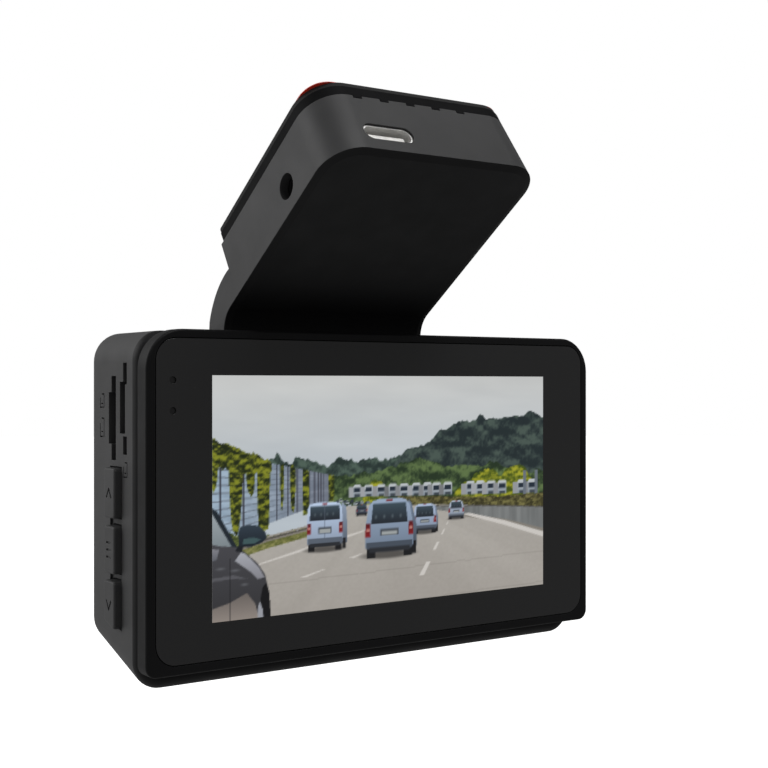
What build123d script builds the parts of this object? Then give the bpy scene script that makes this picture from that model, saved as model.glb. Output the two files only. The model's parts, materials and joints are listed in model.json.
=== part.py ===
from build123d import *
from math import atan2, cos, degrees, hypot, radians, sin, tan
import os

# A windscreen dash camera, in millimetres.
#
# It is drawn in the camera's own frame: X to the driver's right, Y forward through the windscreen,
# Z up, with the origin at the centre of the display on the rear face. The last step moves every
# piece so that the row's origin is the centre of the mount's outer face, where it meets the glass.
#
# The mount is drawn in a leaning frame of its own, MOUNT: local x is across, local y runs from the
# mount's upper end down to its neck, and local z points out of its pad, towards the windscreen.

# ---------- driving dimensions ----------
DISPLAY_W = 66.4          # a 3.0 inch picture, 16:9
DISPLAY_H = 37.35

CASE_W = 87.2             # the housing, across
COVER_W = 88.0            # the rear cover, which stands a little proud of it
COVER_TOP = 25.6
COVER_BOTTOM = -26.0
COVER_T = 3.0
COVER_TOP_R = 6.0
COVER_BOTTOM_R = 1.8

CASE_REAR = 3.9           # the housing's rear edge, a shadow gap in front of the cover
CASE_FRONT = 22.6
CASE_TOP = 25.5
CASE_HEEL = -29.45        # the lowest point of the underside, at the rear
BELLY_ANGLE = 18.0        # the underside rises towards the front
CASE_TOP_R = 4.6
CASE_HEEL_R = 4.3
CASE_FRONT_R = 2.4
CASE_REAR_R = 1.9         # it leaves a waist between the housing and the rear cover
WALL = 1.6

GLASS_W = 84.8
GLASS_TOP = 24.2
GLASS_BOTTOM = -24.4
GLASS_T = 1.0
GLASS_R = 3.3
GLASS_GAP = 0.15

BOARD_Y = 10.2            # rear face of the main board
BOARD_T = 1.0

LENS_X = -7.55            # the lens sits under the mount
LENS_Z = -2.0
LENS_TIP = 33.0

MOUNT_X = -7.55           # the mount's centre, left of the camera's
MOUNT_W = 38.8
MOUNT_LEAN = 35.0         # the pad's slope from the horizontal
MOUNT_TOP_Y = -24.2       # the crease between the mount's end face and its bottom cover
MOUNT_TOP_Z = 50.7
MOUNT_L = 34.2
MOUNT_SHELL_T = 10.5
MOUNT_STEP_T = 5.5        # how far out the neck leaves the block's lower end
MOUNT_DRAFT = 2.4
MOUNT_END_R = 5.9
BEND_R = 4.9              # how the bottom cover bends down into the neck
COVER_PLUG_T = 1.8        # the part of the bottom cover that sits inside the shell
COVER_RAMP = 1.15         # the bottom cover's shallow bevel
COVER_RISE = 0.45
PLATE_T = 1.7
PAD_T = 0.8
LINER_T = 0.12
LINER_INSET = 0.3
LINER_R = 3.9

HINGE_Y = 10.75
HINGE_Z = 20.9
BARREL_R = 4.2
BARREL_CLEAR = 0.35
NECK_T = 5.1
SHAFT_R = 1.25

USB_X = -8.65             # the USB-C port, from the mount's centre
USB_LIFT = 3.5            # and from the crease
JACK_RUN = 13.3           # the rear-camera jack, from the end face
JACK_LIFT = 4.0
JACK_R = 1.8
JACK_DEPTH = 10.5

BUTTON_REAR = 9.9
BUTTON_FRONT = 13.9
BUTTON_PROUD = 1.2
BUTTON_TRAVEL = 0.4
BUTTON_GAP = 0.2
BUTTON_CORNER_R = 0.6
BUTTON_SPANS = {"up_button": (-3.2, 4.5), "menu_button": (-11.7, -4.4), "down_button": (-20.3, -12.8)}

SIDE = -CASE_W / 2        # the plane of the side with the slots and buttons
MOUNT = Plane(
    origin=(MOUNT_X, MOUNT_TOP_Y, MOUNT_TOP_Z),
    x_dir=(1, 0, 0),
    z_dir=(0, sin(radians(MOUNT_LEAN)), cos(radians(MOUNT_LEAN))),
)
PAD_FACE = MOUNT_SHELL_T + PLATE_T + PAD_T + LINER_T


# ---------- helpers ----------
def block(x0, x1, y0, y1, z0, z1):
    """A box between two corners."""
    return Pos((x0 + x1) / 2, (y0 + y1) / 2, (z0 + z1) / 2) * Box(x1 - x0, y1 - y0, z1 - z0)


def rod_x(r, x0, x1, y, z):
    """A round bar along X."""
    return Pos((x0 + x1) / 2, y, z) * Rot(0, 90, 0) * Cylinder(r, x1 - x0)


def rod_y(r, y0, y1, x, z):
    """A round bar along Y."""
    return Pos(x, (y0 + y1) / 2, z) * Rot(90, 0, 0) * Cylinder(r, y1 - y0)


def rod_z(r, z0, z1, x, y):
    """A round bar along Z."""
    return Pos(x, y, (z0 + z1) / 2) * Cylinder(r, z1 - z0)


def slab(half_w, z0, z1, top_r, bottom_r, y0, y1):
    """A plate across the camera with two corner radii, between two depths."""
    outline = Pos(0, (z0 + z1) / 2) * Rectangle(2 * half_w, z1 - z0)
    outline = fillet(outline.vertices().group_by(Axis.Y)[-1], top_r)
    outline = fillet(outline.vertices().group_by(Axis.Y)[0], bottom_r)
    return extrude(Plane.XZ.offset(-y0) * outline, amount=-(y1 - y0))


def across(points, half_w, x=0.0):
    """A (Y, Z) outline drawn out along X, both ways from x."""
    outline = Plane.YZ * make_face(Polyline(*points, close=True))
    return Pos(x, 0, 0) * extrude(outline, amount=half_w, both=True)


def pan_screw(r, head_r, head_h, length):
    """A screw along +Z from its tip at 0, with a cross recess in its head."""
    shaft = rod_z(r, 0, length, 0, 0)
    head = fillet((rod_z(head_r, length, length + head_h, 0, 0)).edges().sort_by(Axis.Z)[-1], head_h * 0.4)
    top = length + head_h
    arm = head_r * 0.6
    recess = block(-arm, arm, -0.16, 0.16, top - head_h * 0.5, top + 1)
    recess += block(-0.16, 0.16, -arm, arm, top - head_h * 0.5, top + 1)
    return shaft + head - recess


# ---------- camera: housing ----------
def belly(y, inset=0.0):
    """Height of the underside at a depth."""
    return CASE_HEEL + inset / cos(radians(BELLY_ANGLE)) + tan(radians(BELLY_ANGLE)) * (y - CASE_REAR)


def is_belly_edge(edge):
    """True for the two edges that climb along the underside."""
    direction = edge % 0.5
    return abs(direction.Y) > 0.5 and abs(direction.Z) > 0.1


def case_form(inset, rear, front_r, rear_r=0.0):
    """The housing's outer form, or its cavity when it is drawn in by inset."""
    top = CASE_TOP - inset
    front = CASE_FRONT - inset
    half_w = CASE_W / 2 - inset
    foot = (rear, belly(rear, inset))
    form = across([(rear, top), (front, top), (front, belly(front, inset)), foot], half_w)
    form = fillet(form.edges().filter_by(Axis.Y).group_by(Axis.Z)[-1], CASE_TOP_R - inset)
    form = fillet(form.edges().filter_by(is_belly_edge), CASE_HEEL_R - inset)
    form = fillet(form.faces().sort_by(Axis.Y)[-1].edges(), front_r)
    if rear_r:
        form = fillet(form.faces().sort_by(Axis.Y)[0].edges(), rear_r)
    return form


TROUGH_R = BARREL_R + BARREL_CLEAR
TROUGH_WALL = 1.2
TROUGH_LEFT = MOUNT_X - MOUNT_W / 2 - 0.4
TROUGH_RIGHT = MOUNT_X + MOUNT_W / 2 + 0.4
SLOT_REAR = 5.2
SLOT_FRONT = 16.7


def hinge_trough():
    """The walls that close off the hinge's trough from the inside of the camera."""
    left = TROUGH_LEFT - 1.3
    right = TROUGH_RIGHT + 3.0
    round_bottom = rod_x(TROUGH_R + TROUGH_WALL, left, right, HINGE_Y, HINGE_Z)
    round_bottom &= block(left, right, HINGE_Y - 9, HINGE_Y + 9, 0, HINGE_Z + 1)
    throat = block(left, right, HINGE_Y - 5.6, SLOT_FRONT + 1.4, HINGE_Z, CASE_TOP - 0.5)
    return round_bottom + throat


def hinge_space():
    """The room that the mount's barrel and neck need as the camera tilts."""
    middle = (TROUGH_LEFT + TROUGH_RIGHT) / 2
    half = (TROUGH_RIGHT - TROUGH_LEFT) / 2
    top = CASE_TOP + 2
    flare = [
        (HINGE_Y - 3.2, HINGE_Z), (HINGE_Y + 3.2, HINGE_Z), (SLOT_FRONT, CASE_TOP - 0.4), (SLOT_FRONT, top),
        (SLOT_REAR, top), (SLOT_REAR, CASE_TOP - 0.4),
    ]
    return rod_x(TROUGH_R, TROUGH_LEFT, TROUGH_RIGHT, HINGE_Y, HINGE_Z) + across(flare, half, middle)


def card_slot(y, wide_y, z0, z1, notch_z0, notch_z1):
    """A card slot through the side wall, with a wider notch for a finger nail."""
    slot = block(SIDE - 1, SIDE + WALL + 0.5, y[0], y[1], z0, z1)
    return slot + block(SIDE - 1, SIDE + WALL + 0.5, wide_y[0], wide_y[1], notch_z0, notch_z1)


def sim_slot():
    """The SIM card's slot: set back between its two ends, with a small bridge above the lower one."""
    rear, front, wide = 7.8, 9.2, 10.4
    step = rear + 0.65
    slot = block(SIDE - 1, SIDE + WALL + 0.5, rear, front, 17.3, 20.6)
    slot += block(SIDE - 1, SIDE + WALL + 0.5, step, wide, 9.8, 17.7)
    return slot + block(SIDE - 1, SIDE + WALL + 0.5, rear, front, 6.6, 9.4)


MEMORY_SLOT = ((11.9, 13.6), (12.0, 14.65), 5.6, 18.6, 8.1, 16.1)


def card_mark(y, z, w, h, depth=0.3):
    """An engraved outline of a card with one cut corner."""
    line = 0.22
    cut = block(SIDE - 1, SIDE + depth, y, y + line, z, z + h)
    cut += block(SIDE - 1, SIDE + depth, y + w - line, y + w, z, z + h * 0.7)
    cut += block(SIDE - 1, SIDE + depth, y, y + w, z, z + line)
    cut += block(SIDE - 1, SIDE + depth, y, y + w * 0.6, z + h - line, z + h)
    cut += block(SIDE - 1, SIDE + depth, y + w * 0.3, y + w * 0.7, z + h * 0.25, z + h * 0.25 + line)
    return cut


def button_outline(z0, z1, grow, name):
    """A button's (Y, Z) outline; the lowest one ends parallel to the underside."""
    rear = BUTTON_REAR - grow
    front = BUTTON_FRONT + grow
    climb = tan(radians(BELLY_ANGLE)) * (front - rear) if name == "down_button" else 0.0
    return [(rear, z0 - grow), (front, z0 - grow + climb), (front, z1 + grow), (rear, z1 + grow)]


def button_prism(name, grow, x0, x1):
    """A button's outline drawn out through the side wall."""
    z0, z1 = BUTTON_SPANS[name]
    prism = across(button_outline(z0, z1, grow, name), (x1 - x0) / 2, (x0 + x1) / 2)
    return fillet(prism.edges().filter_by(Axis.X), BUTTON_CORNER_R + grow)


VENT_XS = [-26 + 7 * k for k in range(9)]
VENT_L = 9.0
SPEAKER_X = 27.0
SPEAKER_Z = 2.0
CASE_SCREW_SPOTS = [(-39.3, 20.6), (39.3, 20.6), (-39.3, -21.6), (39.3, -21.6)]
BOARD_SCREW_SPOTS = [(-25.4, 8.0), (38.0, 10.0), (-21.0, -17.0), (38.0, -14.0)]


def lens_seat():
    """The raised ring on the front face that the lens ring drops into."""
    ring = rod_y(14.6, CASE_FRONT - WALL, CASE_FRONT + 1.4, LENS_X, LENS_Z)
    return chamfer(ring.edges().sort_by(Axis.Y)[-1], 0.6)


def vents():
    """Cooling slots through the underside."""
    cuts = []
    middle = (CASE_REAR + CASE_FRONT) / 2
    rear = middle - VENT_L / 2
    front = middle + VENT_L / 2
    for x in VENT_XS:
        cuts.append(block(x - 0.6, x + 0.6, rear, front, belly(middle) - 5, belly(middle) + 3.2))
    return cuts


def speaker_holes():
    """Rings of small sound holes through the front wall."""
    holes = [rod_y(0.6, CASE_FRONT - 3, CASE_FRONT + 1, SPEAKER_X, SPEAKER_Z)]
    for ring, count in ((2.4, 6), (4.6, 12)):
        for k in range(count):
            turn = radians(360 * k / count)
            holes.append(rod_y(0.6, CASE_FRONT - 3, CASE_FRONT + 1, SPEAKER_X + ring * cos(turn),
                               SPEAKER_Z + ring * sin(turn)))
    return holes


def make_housing():
    shell = case_form(0, CASE_REAR, CASE_FRONT_R, CASE_REAR_R)
    half = COVER_W / 2
    low = COVER_BOTTOM + 1.4
    top = COVER_TOP - 1.5
    lip = slab(half - 1.5, low, top, 4.5, 1.0, COVER_T, CASE_REAR + 2)
    mouth = slab(half - 2.5, low + 1, top - 1, 3.5, 0.8, COVER_T - 1, CASE_REAR + 3)
    cavity = case_form(WALL, CASE_REAR + 1.6, 0.8)
    shell = shell + lip + lens_seat() - mouth - cavity
    shell += hinge_trough()
    for x, z in CASE_SCREW_SPOTS:
        post = rod_y(2.6, COVER_T, 7.2, x, z)
        shell += post & case_form(WALL / 2, COVER_T - 1, 0.8)
    for x, z in BOARD_SCREW_SPOTS:
        shell += rod_y(2.1, BOARD_Y + BOARD_T, CASE_FRONT - 1, x, z)
    shell -= hinge_space()
    shell -= rod_x(SHAFT_R + 0.03, TROUGH_LEFT - 1.0, TROUGH_RIGHT + 4, HINGE_Y, HINGE_Z)
    shell -= sim_slot()
    shell -= card_slot(*MEMORY_SLOT)
    shell -= card_mark(16.4, 9.0, 1.7, 3.1)
    shell -= card_mark(16.4, 13.6, 1.7, 2.3)
    shell -= card_mark(7.6, 3.1, 1.5, 2.4)
    for name in BUTTON_SPANS:
        shell -= button_prism(name, BUTTON_GAP, SIDE - 1, SIDE + WALL + 1)
    shell -= across([(BUTTON_REAR - 0.2, -20.4), (BUTTON_FRONT + 0.2, -18.9), (BUTTON_FRONT + 0.2, 4.7),
                     (BUTTON_REAR - 0.2, 4.7)], 0.4, SIDE)
    shell -= rod_y(12.4, CASE_FRONT - 6, CASE_FRONT + 3, LENS_X, LENS_Z)
    for x, z in CASE_SCREW_SPOTS:
        shell -= rod_y(0.72, COVER_T - 1, 7.0, x, z)
    for x, z in BOARD_SCREW_SPOTS:
        shell -= rod_y(0.72, BOARD_Y, BOARD_Y + 7, x, z)
    for x, z in STATUS_SPOTS:
        shell -= rod_y(0.95, COVER_T - 1, 7.3, x, z)
    shell -= vents()
    shell -= speaker_holes()
    shell -= rod_z(0.5, -32, -18, 33.5, 14.5)
    return shell


# ---------- camera: rear cover, glass and display ----------
PANEL_HALF_W = DISPLAY_W / 2 + 2.1
PANEL_TOP = DISPLAY_H / 2 + 1.7
PANEL_BOTTOM = -DISPLAY_H / 2 - 3.3
STATUS_SPOTS = [(-39.7, 17.95), (-39.7, 13.4)]


def make_rear_cover():
    plate = slab(COVER_W / 2, COVER_BOTTOM, COVER_TOP, COVER_TOP_R, COVER_BOTTOM_R, 0, COVER_T)
    plate = fillet(plate.faces().sort_by(Axis.Y)[0].edges(), 0.4)
    half = GLASS_W / 2 + GLASS_GAP
    gap = GLASS_GAP
    plate -= slab(half, GLASS_BOTTOM - gap, GLASS_TOP + gap, GLASS_R + gap, GLASS_R + gap, -1, GLASS_T + 0.1)
    window = PANEL_HALF_W + 0.3
    plate -= block(-window, window, 0, COVER_T + 1, PANEL_BOTTOM - 0.3, PANEL_TOP + 0.3)
    for x, z in CASE_SCREW_SPOTS:
        plate -= rod_y(0.95, 0, COVER_T + 1, x, z)
        plate -= rod_y(1.75, 0, 2.1, x, z)
    for x, z in STATUS_SPOTS:
        plate -= rod_y(0.95, 0, COVER_T + 1, x, z)
    return plate


def make_cover_glass():
    glass = slab(GLASS_W / 2, GLASS_BOTTOM, GLASS_TOP, GLASS_R, GLASS_R, 0.02, GLASS_T)
    for x, z in STATUS_SPOTS:
        glass -= rod_y(0.55, -1, GLASS_T + 1, x, z)
    return glass


def make_display_panel():
    return block(-PANEL_HALF_W, PANEL_HALF_W, GLASS_T + 0.05, 2.3, PANEL_BOTTOM, PANEL_TOP)


def make_display_backlight():
    tray = block(-PANEL_HALF_W, PANEL_HALF_W, 2.3, 4.0, PANEL_BOTTOM, PANEL_TOP)
    return fillet(tray.edges().filter_by(Axis.Y), 0.8)


def ribbon(points, half_w, x, thick=0.2):
    """A flat flexible cable along a (Y, Z) route of straight runs."""
    left = []
    right = []
    for k, (y, z) in enumerate(points):
        before = points[max(k - 1, 0)]
        after = points[min(k + 1, len(points) - 1)]
        run = hypot(after[0] - before[0], after[1] - before[1])
        ny = -(after[1] - before[1]) / run * thick / 2
        nz = (after[0] - before[0]) / run * thick / 2
        left.append((y + ny, z + nz))
        right.append((y - ny, z - nz))
    return across(left + right[::-1], half_w, x)


def make_display_cable():
    down = [(4.2, -10.0), (4.2, -18.0), (4.7, -19.6), (6.0, -20.2)]
    route = down + [(7.4, -19.7), (8.0, -18.5), (8.0, -15.5)]
    return ribbon(route, 6.0, 16.0)


def make_status_lights():
    pipes = []
    for x, z in STATUS_SPOTS:
        pipe = rod_y(0.5, 0.25, 1.15, x, z) + rod_y(0.85, 1.15, 6.6, x, z)
        pipes.append(pipe)
    return Compound(children=pipes)


def make_case_screws():
    screw = pan_screw(0.7, 1.6, 0.8, 4.6)
    return Compound(children=[Pos(x, 6.7, z) * Rot(90, 0, 0) * screw for x, z in CASE_SCREW_SPOTS])


# ---------- camera: boards and what they carry ----------
def make_main_board():
    board = block(-41.2, 41.2, BOARD_Y, BOARD_Y + BOARD_T, -20.8, 14.0)
    board += block(-41.2, TROUGH_LEFT - 1.7, BOARD_Y, BOARD_Y + BOARD_T, 13.0, 21.4)
    board += block(TROUGH_RIGHT + 3.5, 38.5, BOARD_Y, BOARD_Y + BOARD_T, 13.0, 21.4)
    board = fillet(board.edges().filter_by(Axis.Y).group_by(Axis.Z)[0], 2.0)
    board -= block(-42.0, -41.2 + BUTTON_TRAVEL + 0.2, BOARD_Y - 1, BOARD_Y + 2, -22.0, 5.5)
    for x, z in BOARD_SCREW_SPOTS:
        board -= rod_y(1.0, BOARD_Y - 1, BOARD_Y + 2, x, z)
    return board


def make_display_connector():
    return block(9.5, 22.5, BOARD_Y - 1.9, BOARD_Y, -17.5, -13.5)


def make_processor():
    chip = block(-14, 0, BOARD_Y - 1.3, BOARD_Y, -9, 5)
    return chamfer(chip.faces().sort_by(Axis.Y)[0].edges(), 0.25)


def make_thermal_pad():
    return block(-13.5, -0.5, BOARD_Y - 2.1, BOARD_Y - 1.3, -8.5, 4.5)


def make_heat_sink():
    plate = block(-24, 6, BOARD_Y - 3.3, BOARD_Y - 2.1, -12.0, 12.0)
    for k in range(10):
        x = -22.5 + 3.0 * k
        plate += block(x, x + 1.0, BOARD_Y - 4.9, BOARD_Y - 3.2, -12.0, 12.0)
    return plate


def make_memory_chips():
    chips = []
    for z in (-16.5, -4.0):
        chips.append(block(26, 36, BOARD_Y - 1.1, BOARD_Y, z, z + 10))
    return Compound(children=chips)


def make_modem():
    module = block(13.5, 33.5, BOARD_Y + BOARD_T, BOARD_Y + BOARD_T + 2.4, -10.5, 12.5)
    return fillet(module.edges().filter_by(Axis.Y), 0.8)


def card_reader(y0, y1, path, z0, z1):
    """A pressed metal card reader, open towards the side wall."""
    body = block(SIDE + WALL + 0.2, TROUGH_LEFT - 1.7, y0, y1, z0, z1)
    return body - block(SIDE, TROUGH_LEFT - 3.0, path[0], path[1], z0 + 0.7, z1 - 0.7)


def make_sim_reader():
    return card_reader(7.4, BOARD_Y, (8.0, 9.0), 6.0, 20.9)


def make_memory_reader():
    return card_reader(BOARD_Y + BOARD_T, 14.0, (12.2, 13.3), 5.2, 19.2)


SWITCH_FACE = SIDE + 3.4


def make_button_switches():
    switches = []
    for z0, z1 in BUTTON_SPANS.values():
        z = (z0 + z1) / 2
        foot = BOARD_Y + BOARD_T
        body = block(SWITCH_FACE, SWITCH_FACE + 3.2, foot, foot + 3.4, z - 2.2, z + 2.2)
        switches.append(body)
    return Compound(children=switches)


def make_backup_cells():
    cells = []
    for z in (-16.0, -7.4):
        can = rod_x(4.0, -37.0, -24.0, BOARD_Y + BOARD_T + 4.15, z)
        cells.append(fillet(can.edges(), 0.5))
    return Compound(children=cells)


def make_speaker():
    frame = rod_y(8.0, 16.6, CASE_FRONT - WALL - 0.6, SPEAKER_X, SPEAKER_Z)
    magnet = rod_y(4.5, 14.8, 16.6, SPEAKER_X, SPEAKER_Z)
    return frame + magnet - rod_y(6.8, CASE_FRONT - WALL - 1.4, CASE_FRONT, SPEAKER_X, SPEAKER_Z)


def make_speaker_gasket():
    front = CASE_FRONT - WALL
    ring = rod_y(8.0, front - 0.6, front, SPEAKER_X, SPEAKER_Z)
    return ring - rod_y(6.8, front - 1, front + 1, SPEAKER_X, SPEAKER_Z)


def make_microphone():
    can = block(31.5, 35.5, 12.8, 16.2, -22.0, -20.9)
    return can - rod_z(0.4, -23, -21.5, 33.5, 14.5)


def make_wifi_antenna():
    return block(36.8, 38.4, BOARD_Y - 1.2, BOARD_Y, 15.0, 21.0)


def make_cellular_antenna():
    half = CASE_W / 2 - WALL
    return block(half - 0.35, half - 0.05, 7.0, 18.0, -14.0, 16.0)


def make_board_screws():
    screw = pan_screw(0.7, 1.6, 0.8, 5.5 + BOARD_T)
    return Compound(children=[Pos(x, BOARD_Y + BOARD_T + 5.5, z) * Rot(90, 0, 0) * screw
                              for x, z in BOARD_SCREW_SPOTS])


# ---------- camera: lens and sensor ----------
def lens_rod(r, y0, y1):
    return rod_y(r, y0, y1, LENS_X, LENS_Z)


SENSOR_BOARD_Y = 12.6


def make_sensor_board():
    board = block(LENS_X - 12, LENS_X + 12, SENSOR_BOARD_Y, SENSOR_BOARD_Y + 1.0, LENS_Z - 10, LENS_Z + 10)
    for side in (-1, 1):
        board -= rod_y(0.9, SENSOR_BOARD_Y - 1, SENSOR_BOARD_Y + 2, LENS_X + side * 10.4, LENS_Z)
    return board


def make_image_sensor():
    rear = SENSOR_BOARD_Y + 1.0
    return block(LENS_X - 4.5, LENS_X + 4.5, rear, rear + 1.2, LENS_Z - 3.8, LENS_Z + 3.8)


def make_infrared_filter():
    y = SENSOR_BOARD_Y + 2.6
    return block(LENS_X - 4.0, LENS_X + 4.0, y, y + 0.4, LENS_Z - 4.0, LENS_Z + 4.0)


def make_lens_holder():
    foot_y = SENSOR_BOARD_Y + 1.0
    holder = block(LENS_X - 8.2, LENS_X + 8.2, foot_y, foot_y + 3.4, LENS_Z - 8.2, LENS_Z + 8.2)
    holder += lens_rod(8.2, foot_y + 3.4, 21.0)
    for side in (-1, 1):
        ear = block(-1.8, 1.8, foot_y, foot_y + 1.6, -1.8, 1.8)
        holder += Pos(LENS_X + side * 9.9, 0, LENS_Z) * ear
    holder -= lens_rod(7.02, foot_y + 1.8, 22)
    holder -= block(LENS_X - 5.0, LENS_X + 5.0, foot_y - 1, foot_y + 1.9, LENS_Z - 4.4, LENS_Z + 4.4)
    for side in (-1, 1):
        holder -= rod_y(0.62, foot_y - 1, foot_y + 3, LENS_X + side * 10.4, LENS_Z)
    return holder


def make_sensor_screws():
    screw = pan_screw(0.6, 1.1, 0.6, 2.4)
    return Compound(children=[Pos(LENS_X + side * 10.4, SENSOR_BOARD_Y + 2.4, LENS_Z) * Rot(90, 0, 0) * screw
                              for side in (-1, 1)])


def make_lens_barrel():
    barrel = lens_rod(7.0, 15.6, 24.0) + lens_rod(9.6, 24.0, LENS_TIP - 1.2)
    barrel -= lens_rod(4.2, 15, LENS_TIP)
    barrel -= lens_rod(8.2, LENS_TIP - 4.6, LENS_TIP)
    return barrel


def make_inner_lenses():
    lenses = []
    for y in (17.2, 20.4, 24.6):
        lens = lens_rod(4.19, y, y + 1.4)
        lenses.append(fillet(lens.edges(), 0.5))
    return Compound(children=lenses)


def make_front_lens():
    """The domed outer lens."""
    dome_r = 13.0
    crown = LENS_TIP - 0.6
    dome = Pos(LENS_X, crown - dome_r, LENS_Z) * Sphere(dome_r)
    return dome & lens_rod(8.19, LENS_TIP - 4.6, LENS_TIP)


def make_lens_ring():
    """The trim ring that stands out of the front face round the lens."""
    ring = lens_rod(12.3, CASE_FRONT - WALL - 0.4, CASE_FRONT + 1.0)
    ring += lens_rod(11.9, CASE_FRONT + 1.0, LENS_TIP)
    ring -= lens_rod(9.7, CASE_FRONT - 4, LENS_TIP + 1)
    flare = Pos(LENS_X, LENS_TIP, LENS_Z) * Rot(90, 0, 0) * Cone(11.2, 9.7, 3.0)
    ring -= flare
    for k in range(3):
        groove = lens_rod(12.5, 26.0 + 1.6 * k, 26.5 + 1.6 * k) - lens_rod(11.6, 25, 31)
        ring -= groove
    return ring


# ---------- buttons ----------
def button_glyph(name):
    """The engraved mark on a button: an arrow head, or three bars."""
    z0, z1 = BUTTON_SPANS[name]
    y = (BUTTON_REAR + BUTTON_FRONT) / 2
    z = (z0 + z1) / 2
    face = SIDE - BUTTON_PROUD
    if name == "menu_button":
        bar = Pos(face - 0.4, y, z) * Box(1.2, 1.8, 0.34)
        return [Pos(0, 0, rise) * bar for rise in (-1.1, 0, 1.1)]
    way = 1 if name == "up_button" else -1
    cuts = []
    for side in (-1, 1):
        bar = Box(2.5, 0.36, 1.8)
        cuts.append(Pos(face - 1.0, y + side * 0.42, z) * Rot(side * way * 32, 0, 0) * bar)
    return cuts


def make_button(name):
    face = SIDE - BUTTON_PROUD
    cap = button_prism(name, 0.0, face, SIDE + WALL + 0.7)
    cap = fillet(cap.faces().sort_by(Axis.X)[0].edges(), 0.35)
    flange_x = SIDE + WALL + 0.1
    flange = button_prism(name, 0.45, flange_x, flange_x + 0.6)
    z0, z1 = BUTTON_SPANS[name]
    z = (z0 + z1) / 2
    stem = block(flange_x + 0.3, SWITCH_FACE - BUTTON_TRAVEL - 0.05, 12.2, 13.6, z - 0.9, z + 0.9)
    return cap + flange + stem - button_glyph(name)


# ---------- mount ----------
def mount_block(x0, x1, s0, s1, t0, t1):
    """A box in the mount's leaning frame."""
    return MOUNT.location * block(x0, x1, s0, s1, t0, t1)


def mount_tablet(half_w, s0, s1, end_r, foot_r, t0, t1):
    """A plate in the mount's frame: half_w and length, with rounded upper and lower corners."""
    outline = Pos(0, (s0 + s1) / 2) * Rectangle(2 * half_w, s1 - s0)
    outline = fillet(outline.vertices().group_by(Axis.Y)[0], end_r)
    outline = fillet(outline.vertices().group_by(Axis.Y)[-1], foot_r)
    return MOUNT.location * extrude(Pos(0, 0, t0) * outline, amount=t1 - t0)


def mount_point(s, t):
    """The camera-frame (Y, Z) of a point in the mount's frame."""
    lean = radians(MOUNT_LEAN)
    return (MOUNT_TOP_Y + s * cos(lean) + t * sin(lean), MOUNT_TOP_Z - s * sin(lean) + t * cos(lean))


NECK_REAR = HINGE_Y - NECK_T / 2
NECK_FRONT = HINGE_Y + NECK_T / 2
NECK_END_Z = HINGE_Z + 3.6


def rear_line(t, s_start=0.0):
    """The mount's rear line at a depth t: where it starts, both ends of its bend, and the bend's middle."""
    lean = radians(MOUNT_LEAN)
    centre_y = NECK_REAR - BEND_R
    centre_z = MOUNT_TOP_Z - (BEND_R + (centre_y - MOUNT_TOP_Y) * sin(lean)) / cos(lean)
    radius = BEND_R + t
    half_turn = (radians(90) - lean) / 2
    knee = (centre_y + radius * sin(lean), centre_z + radius * cos(lean))
    middle = (centre_y + radius * cos(half_turn), centre_z + radius * sin(half_turn))
    foot = (centre_y + radius, centre_z)
    return mount_point(s_start, t), knee, middle, foot


def rear_band(t0, t1, half_w, s_start, end_z=NECK_END_Z):
    """A bent sheet that follows the mount's rear line between two depths."""
    start, knee, middle, foot = rear_line(t0, s_start)
    start_in, knee_in, middle_in, foot_in = rear_line(t1, s_start)
    lines = Line(start, knee) + ThreePointArc(knee, middle, foot) + Line(foot, (foot[0], end_z))
    lines += Line((foot[0], end_z), (foot_in[0], end_z)) + Line((foot_in[0], end_z), foot_in)
    lines += ThreePointArc(foot_in, middle_in, knee_in) + Line(knee_in, start_in) + Line(start_in, start)
    return Pos(MOUNT_X, 0, 0) * extrude(Plane.YZ * make_face(lines), amount=half_w, both=True)


def side_face():
    """The mount's side view: block, step and neck, down to the hinge."""
    start, knee, middle, foot = rear_line(0)
    top_out = mount_point(0, MOUNT_SHELL_T)
    low_out = mount_point(MOUNT_L, MOUNT_SHELL_T)
    step = mount_point(MOUNT_L, MOUNT_STEP_T)
    lines = Line(start, knee) + ThreePointArc(knee, middle, foot)
    lines += Line(foot, (NECK_REAR, HINGE_Z)) + Line((NECK_REAR, HINGE_Z), (NECK_FRONT, HINGE_Z))
    lines += Line((NECK_FRONT, HINGE_Z), (NECK_FRONT, 27.4))
    lines += ThreePointArc((NECK_FRONT, 27.4), (11.1, 32.0), step)
    lines += Line(step, low_out) + Line(low_out, top_out) + Line(top_out, start)
    return Plane.YZ * make_face(lines)


def is_upper_corner(edge):
    """True for the two edges that stand between the mount's end face and its sides."""
    middle = MOUNT.to_local_coords(edge @ 0.5)
    return abs(middle.Y) < 0.01 and abs(middle.X) > MOUNT_W / 2 - 1.0 and 0 < middle.Z < MOUNT_SHELL_T


def mount_form():
    """The whole mount shell before it is hollowed, with its drafted sides and round upper corners."""
    half = MOUNT_W / 2
    form = Pos(MOUNT_X, 0, 0) * extrude(side_face(), amount=half, both=True)
    pull = MOUNT_SHELL_T * tan(radians(MOUNT_DRAFT))
    section = Polyline((-half, -30), (-half, 0), (-half + pull, MOUNT_SHELL_T), (half - pull, MOUNT_SHELL_T),
                       (half, 0), (half, -30), close=True)
    sides = extrude(Plane.XZ * make_face(section), amount=-80, both=True)
    form = form & (MOUNT.location * sides)
    return fillet(form.edges().filter_by(is_upper_corner), MOUNT_END_R)


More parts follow.
